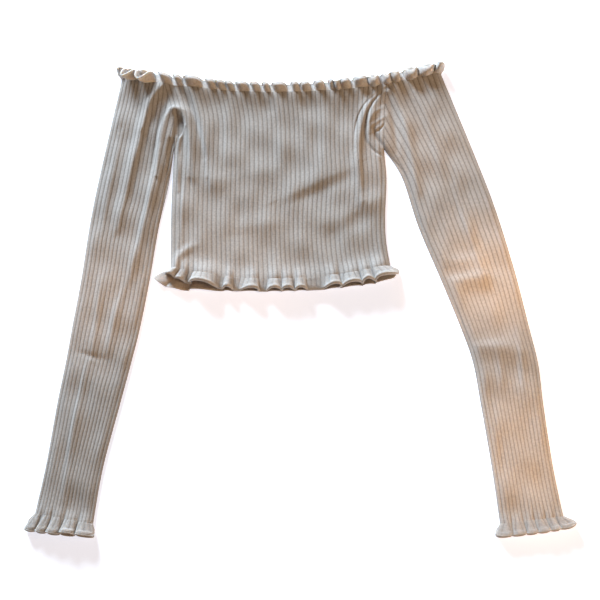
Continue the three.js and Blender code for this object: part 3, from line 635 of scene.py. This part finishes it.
def frill(name, seam, waves, side, depths, flat, power, material, root, rim_radius=1.3,
          share=1.0, short=1.0, spread=0.11, lip=None, lean=(0, 0), fan=(0, 0), ribs=None,
          corner=CORNER_RADIUS, peaks=None, bend=(0.68, 0.92)):
    """Strip of cloth that leaves a seam and turns up more and more towards its free edge.

    seam holds points along the seam, ribs the rib phase there, and root gives the height of
    the cloth's middle there. With q from 0 at the seam to 1 at the edge, reach and height are
    the running sums of the cosine and sine of the cloth's slope. Between crests the slope is
    flat * (ROOT_TURN + q) degrees. On a crest it starts at rise * ROOT_TURN and turns to
    rise * (1 + ROOT_TURN) within FOLD_OVER, or between the two angles of the neck's table;
    from a start over BULB it turns evenly all the way, so that the crest bulges forwards.
    All of this counts times share, and within bend the cloth turns to the slope lip.

    The depth is the curve through depths, times short between crests and less at the two
    corners, which are rounded to the radius corner. In step with q a crest flares by spread
    and the cloth leans along the seam by lean, given for the left end and the right one, and
    fan turns the two ends outwards. The wall ends in the round bead of the overlocked edge."""
    table = np.array(waves, float)
    count = int(table[:, :2].sum() * FRILL_STATIONS / COARSE) * COARSE
    at = np.linspace(0, 1, count + 1)
    risen, row, flare = wave_lift(waves, at, power, peaks)
    flare = flare * spread
    if table.shape[1] == 4:
        root_angle, edge_angle = table[row, 2], table[row, 3]
    else:
        root_angle, edge_angle = table[row, 2] * ROOT_TURN, table[row, 2] * (1 + ROOT_TURN)
    to_end = np.minimum(at, 1 - at) * table[:, :2].sum()
    rounding = np.sqrt(1 - (1 - np.clip(to_end / corner, 0, 1)) ** 2)
    depth = spline(depths, at) * mix(CORNER_DEPTH, 1, rounding) * mix(short, 1, risen ** 2)
    step = np.hypot(*np.diff(seam, axis=0).T)
    length = np.concatenate([[0], step.cumsum()])
    line = np.stack([np.interp(at, length / length[-1], seam[:, k]) for k in (0, 1)], -1)
    tangent = np.gradient(line, axis=0)
    tangent /= np.linalg.norm(tangent, axis=1, keepdims=True)
    turn_out = np.radians(fan[0] * (1 - smoothstep(at, 0, FAN_SHARE))
                          - fan[1] * smoothstep(at, 1 - FAN_SHARE, 1))
    out = side * np.stack([-tangent[:, 1], tangent[:, 0]], -1)
    cos, sin = np.cos(turn_out * side), np.sin(turn_out * side)
    out = np.stack([out[:, 0] * cos - out[:, 1] * sin, out[:, 0] * sin + out[:, 1] * cos], -1)

    bead = rim_radius * (1 + np.cos(np.linspace(0, np.pi, BEAD_LINES)))
    cloth = np.linspace(0, 1 - 2 * rim_radius / depths[0], FRILL_LINES)
    q = np.concatenate([cloth[:-1], 1 - bead / depths[0]])
    mid = (q[1:] + q[:-1])[:, None] / 2
    over = np.where(root_angle > BULB, mid, smoothstep(mid, *FOLD_OVER))
    angle = share * mix(flat * (ROOT_TURN + mid), mix(root_angle, edge_angle, over), risen)
    if lip is not None:
        angle = mix(angle, lip, smoothstep(mid, *bend))
    angle = np.radians(angle)
    stretch = depth * np.diff(q)[:, None]
    zero = np.zeros((1, len(at)))
    reach = STITCH_GAP + np.concatenate([zero, (stretch * np.cos(angle)).cumsum(0)])
    height = np.concatenate([zero, (stretch * np.sin(angle)).cumsum(0)])
    sideways = (flare + mix(*lean, at) * mix(LEAN_BETWEEN, 1, risen)) * q[:, None]
    middle_x = line[:, 0] + out[:, 0] * reach + tangent[:, 0] * sideways
    middle_y = line[:, 1] + out[:, 1] * reach + tangent[:, 1] * sideways
    middle = grid_points(middle_x, middle_y, height + root(line[:, 0], line[:, 1], at))

    along = np.gradient(middle, axis=1)
    away = np.gradient(middle, axis=0)
    normal = side * np.cross(along, away)
    normal /= np.maximum(np.linalg.norm(normal, axis=-1, keepdims=True), 1e-9)
    normal[0] = (0, 0, 1)
    from_edge = (1 - q) * depths[0]
    round_edge = np.sqrt(np.maximum(rim_radius ** 2 - (from_edge - rim_radius) ** 2, 0))
    half = np.where(from_edge < 2 * rim_radius, round_edge, 0)
    half = np.where(from_edge > rim_radius, np.maximum(half, FRILL_CLOTH / 2), half)[:, None, None]
    relief = 0.0
    crest = np.ones(middle.shape[:2])
    if ribs is not None:
        phase = np.interp(at, length / length[-1], ribs)
        fade = 1 - smoothstep(q, *FRILL_RIBS)[:, None]
        relief = (RIB_HEIGHT * rib(phase) * fade)[..., None]
        crest = mix(1, rib(phase), fade)
    # The overlocking thread covers the bead, which is two radii wide. The rim's colour goes there,
    # and on the neck's frill that colour is a painted highlight.
    rim = smoothstep(-from_edge, -2.4 * rim_radius, -1.9 * rim_radius)[:, None] * np.ones(len(at))
    top = middle + normal * (half + relief)
    bottom = middle - normal * half

    shell = Shell()
    top_ids = shell.add(top, crest, rim)
    bottom_ids = np.concatenate([shell.add(bottom[:-1], 1.0, rim[:-1]), top_ids[-1:]])
    knit = np.stack(np.broadcast_arrays(at * length[-1] / RIB_PITCH,
                                        q[:, None] * depths[0] / RIB_PITCH), -1)
    up = side < 0
    shell.skin(top_ids, knit, flip=up)
    shell.skin(bottom_ids, knit, flip=not up)
    shell.bridge(top_ids[0], bottom_ids[0], knit[0], flip=up)
    for column, turned in ((0, not up), (-1, up)):
        shell.bridge(top_ids[:-1, column], bottom_ids[:-1, column], knit[:-1, column], flip=turned)
        last = np.array([[bottom_ids[-2, column], top_ids[-1, column], top_ids[-2, column]]])
        shell.triangles.append(last[:, ::-1] if turned else last)
        shell.triangle_maps.append(np.repeat(knit[-1:, column][:, None], 3, 1))
    return shell.object(name, material)


def neck_line():
    """Along the left sleeve's top, the body's neck edge and the right sleeve's top."""
    share = np.linspace(0, 1, 7)
    left = sleeve_top(LEFT_SLEEVE, share[:-1] * LEFT_SLEEVE["neck_ribs"] / SLEEVE_RIBS)
    right = sleeve_top(RIGHT_SLEEVE, (1 - share[1:]) * RIGHT_SLEEVE["neck_ribs"] / SLEEVE_RIBS)
    x, y = body_place(np.linspace(0, 1, 17), 1)
    middle = np.stack([x[0], y[0]], -1)
    return spline(np.concatenate([left, middle, right]), np.linspace(0, 1, SEAM_POINTS))


def hem_line():
    """Points along the hem from left to right, and the rib phase at each."""
    across = np.linspace(0, 1, SEAM_POINTS)
    x, y = body_place(across, 0)
    return np.stack([x[0], y[0]], -1), across * BODY_RIBS


def cuff_line(shape):
    """Straight across the cuff from left to right in the picture, and the rib phase there."""
    outer, inner = shape["sections"][-1, :2], shape["sections"][-1, 2:4]
    start, end = (outer, inner) if shape["side"] < 0 else (inner, outer)
    ribs = np.linspace(0, SLEEVE_RIBS, CUFF_POINTS)
    return mix(start, end, np.linspace(0, 1, CUFF_POINTS)[:, None]), ribs


def neck_root(x, y, at):
    """Height at which the neck's upper frill leaves its seam."""
    fade = smoothstep(np.minimum(at, 1 - at) * NECK_LENGTH, 0, EDGE_FADE)
    return UPPER + lift(x, y, fade) + NECK_RISE * fade + FRILL_CLOTH / 2 + NECK_STEP


def hem_root(x, y, at):
    """Height at which the hem's upper frill leaves its seam."""
    fade = body_fade(at, np.zeros(1))[0]
    swell = (edge_swell(HEM_WAVES, at, 0.0, **HEM_SWELL) + HEM_RISE) * hem_ends(at)
    return UPPER + CLOTH - FRILL_CLOTH / 2 + STITCH_STEP + lift(x, y, fade) + swell


def cuff_root(waves):
    """The same for a cuff's upper frill with these waves."""
    def height(x, y, at):
        to_end = np.minimum(at, 1 - at) * np.hypot(x[-1] - x[0], y[-1] - y[0])
        fade = smoothstep(to_end, 0, EDGE_FADE)
        swell = edge_swell(waves, at, 0.0, **CUFF_SWELL)
        return UPPER + CLOTH - FRILL_CLOTH / 2 + STITCH_STEP + lift(x, y, fade) + swell
    return height


def lower_root(x, y, at):
    """The same for every lower frill, which lies on the floor."""
    return np.full(len(at), FRILL_CLOTH / 2 + LOWER_STEP)


# Materials


def linear(hex_colour):
    """sRGB hex to linear RGBA."""
    channels = [int(hex_colour[i:i + 2], 16) / 255 for i in (1, 3, 5)]
    return (*[c / 12.92 if c <= 0.04045 else ((c + 0.055) / 1.055) ** 2.4 for c in channels], 1)


def add(tree, kind, settings=None, **inputs):
    """Adds a node. settings are its own fields. inputs are its sockets, by name with spaces as
    underscores or by i and their number, and hold a value or the socket of another node."""
    node = tree.nodes.new(kind)
    for field, value in (settings or {}).items():
        setattr(node, field, value)
    for key, value in inputs.items():
        by_number = key[0] == "i" and key[1:].isdigit()
        socket = node.inputs[int(key[1:]) if by_number else key.replace("_", " ")]
        if isinstance(value, bpy.types.NodeSocket):
            tree.links.new(value, socket)
        else:
            socket.default_value = value
    return node


WALES = 3               # columns of stitches in one rib, each 2 mm wide
COURSE = 2.4            # a row of stitches in mm, coarser than the real 1.7, to show at all
V_SLANT = 1.1           # rows that the leg of a V would climb across a whole wale
WRAP = 1.6              # from one turn of the overlocking thread to the next, in mm
FIBRE_SCALE = 900       # fuzz of single fibres, in cells a metre: 1.1 mm, coarser than real
YARN_SCALE = 420        # uneven dye and yarn, 2.4 mm
CLOUD_SCALE = 14        # slow change of tone over the cloth, 70 mm


def knit_material(name, crest_colour, painted_groove_shade, rim_colour, thin=0.0):
    """Cotton rib knit, off-white: matt yarn whose loops stand in rows of small Vs. The eye
    sees broad soft ribs with narrow dark grooves, a faint grain of stitches and a light fuzz.
    The grooves' darker colour is painted shade.
    Its free edge is overlocked with close turns of thread. thin is how much light passes into
    the cloth and through it, as it does in a frill that stands up."""
    material = bpy.data.materials.new(name)
    material.use_nodes = True
    tree = material.node_tree
    tree.nodes.clear()

    def maths(operation, a, b=0.0, c=0.0):
        return add(tree, "ShaderNodeMath", {"operation": operation}, i0=a, i1=b, i2=c).outputs[0]

    knit = add(tree, "ShaderNodeUVMap", {"uv_map": "knit"})
    split = add(tree, "ShaderNodeSeparateXYZ", Vector=knit.outputs["UV"])
    place = add(tree, "ShaderNodeTexCoord").outputs["Object"]
    crest = add(tree, "ShaderNodeAttribute", {"attribute_name": "crest"}).outputs["Fac"]
    rim = add(tree, "ShaderNodeAttribute", {"attribute_name": "rim"}).outputs["Fac"]

    # Height of the surface: stitches, or thread on the rim, with fuzz over both.
    wale = maths("MULTIPLY", split.outputs["X"], WALES)
    off_wale = maths("ABSOLUTE", maths("SUBTRACT", maths("FRACT", wale), 0.5))
    slanted = maths("MULTIPLY_ADD", split.outputs["Y"], RIB_PITCH / COURSE,
                    maths("MULTIPLY", off_wale, V_SLANT))
    loops = maths("MULTIPLY_ADD", maths("SINE", maths("MULTIPLY", slanted, 2 * math.pi)), 0.5, 0.5)
    between = maths("SUBTRACT", 1.0, maths("POWER", maths("MULTIPLY", off_wale, 2.0), 3.0))
    stitches = maths("MULTIPLY", loops, between)
    turns = maths("MULTIPLY", split.outputs["X"], 2 * math.pi * RIB_PITCH / WRAP)
    wraps = maths("MULTIPLY_ADD", maths("SINE", turns), 0.5, 0.5)
    relief = add(tree, "ShaderNodeMix", {"data_type": "FLOAT"},
                 i0=rim, i2=stitches, i3=wraps).outputs[0]
    fuzz = add(tree, "ShaderNodeTexNoise", Vector=place, Scale=FIBRE_SCALE, Detail=3.0,
               Roughness=0.6)
    relief = maths("MULTIPLY_ADD", relief, 0.3, maths("MULTIPLY", fuzz.outputs["Fac"], 0.5))

    # The colour follows the rib and the rim, and noise turns its tone to either side of 1.
    # The darker groove colour is painted shade, and the rim's paler colour on the neck's frill is a
    # painted highlight.
    mottle = add(tree, "ShaderNodeTexNoise", Vector=place, Scale=YARN_SCALE, Detail=3.0,
                 Roughness=0.6)
    cloudy = add(tree, "ShaderNodeTexNoise", Vector=place, Scale=CLOUD_SCALE, Detail=2.0)
    cloth = add(tree, "ShaderNodeMix", {"data_type": "RGBA"}, i0=maths("POWER", crest, 0.8),
                i6=linear(painted_groove_shade), i7=linear(crest_colour)).outputs["Result"]
    cloth = add(tree, "ShaderNodeMix", {"data_type": "RGBA"}, i0=rim, i6=cloth,
                i7=linear(rim_colour)).outputs["Result"]
    tone = maths("ADD", maths("MULTIPLY_ADD", mottle.outputs["Fac"], 0.7, 0.55),
                 maths("MULTIPLY", cloudy.outputs["Fac"], 0.2))
    grey = add(tree, "ShaderNodeCombineColor", i0=tone, i1=tone, i2=tone).outputs["Color"]
    shaded = add(tree, "ShaderNodeMix", {"data_type": "RGBA", "blend_type": "MULTIPLY"},
                 i0=1.0, i6=cloth, i7=grey)

    bump = add(tree, "ShaderNodeBump", Height=relief, Strength=0.9, Distance=0.5 * MM)
    shader = add(tree, "ShaderNodeBsdfPrincipled", Base_Color=shaded.outputs["Result"],
                 Roughness=0.92, IOR=1.45, Specular_IOR_Level=0.25, Sheen_Weight=0.25,
                 Sheen_Roughness=0.5, Subsurface_Weight=thin,
                 Subsurface_Radius=(1.0, 0.85, 0.7), Subsurface_Scale=2.5 * MM,
                 Normal=bump.outputs["Normal"])
    add(tree, "ShaderNodeOutputMaterial", Surface=shader.outputs["BSDF"])
    return material


# Pieces

# Where the tables' origin lies in the model's frame: the body's back is in the same place.
evenly = np.linspace(0, 1, 65)
outline_x, outline_y = body_place(evenly, evenly)
back_low, back_high = (np.array(corner, float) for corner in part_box("body_back"))
PLACE = np.array([back_low[0] - outline_x.min() * MM, back_high[1] - outline_y.max() * MM, 0.0])

# Each groove colour is painted shade in the recesses between the ribs.
rib_knit = knit_material("cotton_rib_knit", "#b4aca6", "#81776f", "#a29a94")
frill_knit = knit_material("cotton_frill_knit", "#b0a8a2", "#857b73", "#b8b1ab", thin=0.8)
# The neck's knit is a lighter copy of the frills' knit: painted light standing in for the light on
# the neck frill's shaded crests. Its paler rim is a painted highlight.
neck_knit_painted_lighter = knit_material("cotton_edge_knit", "#c8c0ba", "#a0968e", "#dad5d0", thin=0.8)

neck = neck_line()
hem, hem_ribs = hem_line()
left_cuff, left_cuff_ribs = cuff_line(LEFT_SLEEVE)
right_cuff, right_cuff_ribs = cuff_line(RIGHT_SLEEVE)

NECK = dict(seam=neck, waves=NECK_WAVES, side=1, depths=NECK_DEPTHS, flat=-14, power=0.6,
            short=NECK_SHORT, spread=0.05, lean=(-13, 2), fan=(-16, 32), material=neck_knit_painted_lighter)
HEM = dict(seam=hem, waves=HEM_WAVES, side=-1, depths=HEM_DEPTHS, flat=4, power=1.1, lip=-78,
           bend=(0.62, 0.88), peaks=HEM_PEAKS, rim_radius=1.8, fan=(34, 42), ribs=hem_ribs,
           material=frill_knit)
CUFF = dict(side=-1, flat=4, power=0.65, short=0.86, spread=0.2, lip=-24, rim_radius=1.2,
            material=frill_knit)
LEFT_CUFF = CUFF | dict(seam=left_cuff, waves=LEFT_CUFF_WAVES, depths=LEFT_CUFF_DEPTHS,
                        lean=(-6, 3), corner=4, fan=(10, 10), ribs=left_cuff_ribs)
RIGHT_CUFF = CUFF | dict(seam=right_cuff, waves=RIGHT_CUFF_WAVES, depths=RIGHT_CUFF_DEPTHS,
                         lean=(-3, 6), fan=(26, 42), ribs=right_cuff_ribs)
# The lower frills lie lower, without ribs and with a thinner bead.
LOWER = dict(root=lower_root, share=LOWER_SHARE, lip=None, rim_radius=LOWER_RIM, ribs=None)
LOWER_NECK = NECK | LOWER | dict(flat=4)
LOWER_HEM = HEM | LOWER | dict(depths=HEM_BACK_DEPTHS, fan=(48, 30), corner=12)
LEFT_ROOT, RIGHT_ROOT = cuff_root(LEFT_CUFF_WAVES), cuff_root(RIGHT_CUFF_WAVES)

back = body_back(rib_knit)
front = body_front(rib_knit)
left_sleeve = sleeve("rib_left_sleeve", LEFT_SLEEVE, LEFT_CUFF_WAVES, rib_knit)
right_sleeve = sleeve("rib_right_sleeve", RIGHT_SLEEVE, RIGHT_CUFF_WAVES, rib_knit)
frills = {
    "neck_frill_front": frill("ruffle_neck_front", root=neck_root, **NECK),
    "neck_frill_back": frill("ruffle_neck_back", **LOWER_NECK),
    "hem_frill_front": frill("ruffle_hem_front", root=hem_root, **HEM),
    "hem_frill_back": frill("ruffle_hem_back", **LOWER_HEM),
    "left_cuff_frill_front": frill("ruffle_left_cuff_front", root=LEFT_ROOT, **LEFT_CUFF),
    "left_cuff_frill_back": frill("ruffle_left_cuff_back", **LEFT_CUFF | LOWER),
    "right_cuff_frill_front": frill("ruffle_right_cuff_front", root=RIGHT_ROOT, **RIGHT_CUFF),
    "right_cuff_frill_back": frill("ruffle_right_cuff_back", **RIGHT_CUFF | LOWER),
}

for piece, node in ((back, "body_back"), (front, "body_front"), (left_sleeve, "left_sleeve"),
                    (right_sleeve, "right_sleeve")):
    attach(piece, "root")
    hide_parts(node)
for node, piece in frills.items():
    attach(piece, "root")
    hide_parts(node)


# Floor, light and camera


def light(name, kind, energy, colour, place, target, **fields):
    """Adds a light that points from its place to a target."""
    data = bpy.data.lights.new(name, kind)
    data.energy, data.color = energy, colour
    for field, value in fields.items():
        setattr(data, field, value)
    lamp = bpy.data.objects.new(name, data)
    bpy.context.scene.collection.objects.link(lamp)
    lamp.location = place
    aim = Vector(target) - Vector(place)
    lamp.rotation_euler = aim.to_track_quat("-Z", "Y").to_euler()


FLOOR_HALF = 30         # half the floor's side in metres: it reaches almost to the horizon
FLOOR_DROP = 0.0003     # just under the cloth
corners = [(x * FLOOR_HALF, y * FLOOR_HALF, -FLOOR_DROP)
           for x, y in ((-1, -1), (1, -1), (1, 1), (-1, 1))]
floor_mesh = bpy.data.meshes.new("floor")
floor_mesh.from_pydata(corners, [], [(0, 1, 2, 3)])
floor = bpy.data.objects.new("floor", floor_mesh)
bpy.context.scene.collection.objects.link(floor)
# Matt white paper, which glows a little, so that only the palest shadows show on it.
paper = bpy.data.materials.new("white_paper")
paper.use_nodes = True
PAPER = {"Base Color": linear("#fafafa"), "Roughness": 0.95,
         "Emission Color": linear("#e6edff"), "Emission Strength": 0.65}
for socket, value in PAPER.items():
    paper.node_tree.nodes["Principled BSDF"].inputs[socket].default_value = value
floor_mesh.materials.append(paper)

world = bpy.data.worlds.new("studio")
bpy.context.scene.world = world
world.use_nodes = True
background = world.node_tree.nodes["Background"]
background.inputs["Color"].default_value = linear("#ffe6cc")
background.inputs["Strength"].default_value = 0.18
# Cool daylight comes in low from the upper left, and a warm lamp fills from the right.
DAYLIGHT, LAMPLIGHT, GLOW = (0.69, 0.85, 1.0), (1.0, 0.69, 0.40), (1.0, 0.60, 0.32)
light("window", "AREA", 232, DAYLIGHT, (-1.35, 2.7, 1.02), (0, 0, 0), shape="SQUARE", size=1.05)
light("lamp", "AREA", 15, LAMPLIGHT, (1.5, -0.4, 1.1), (0, 0, 0), shape="SQUARE", size=1.4)
# Patches of warm light, from lamps above and to the right of them. Columns: power in watts,
# width of the cone in radians, softness of its edge, and x and y where it falls.
GLOWS = {"right_shoulder": (22, 0.15, 1.0, 0.165, 0.18),
         "right_elbow": (84, 0.125, 0.6, 0.248, 0.004),
         "right_cuff": (64, 0.15, 0.7, 0.265, -0.205),
         "left_elbow": (22, 0.14, 0.9, -0.255, -0.02),
         "hem": (12, 0.2, 1.0, -0.1, 0.015)}
for name, (energy, width, blend, x, y) in GLOWS.items():
    light("glow_" + name, "SPOT", energy, GLOW, (x + 0.5, y - 0.2, 1.4), (x, y, 0),
          spot_size=width, spot_blend=blend, shadow_soft_size=0.05)
bpy.context.scene.view_settings.view_transform = "Standard"

TILT = math.radians(16)
CAMERA_DISTANCE = 1.2
camera_data = bpy.data.cameras.new("camera")
camera_data.sensor_width, camera_data.lens = 36, 57.6
camera = bpy.data.objects.new("camera", camera_data)
bpy.context.scene.collection.objects.link(camera)
camera.location = (PLACE[0], PLACE[1] - CAMERA_DISTANCE * math.sin(TILT),
                   CAMERA_DISTANCE * math.cos(TILT))
camera.rotation_euler = (TILT, 0, 0)
bpy.context.scene.camera = camera
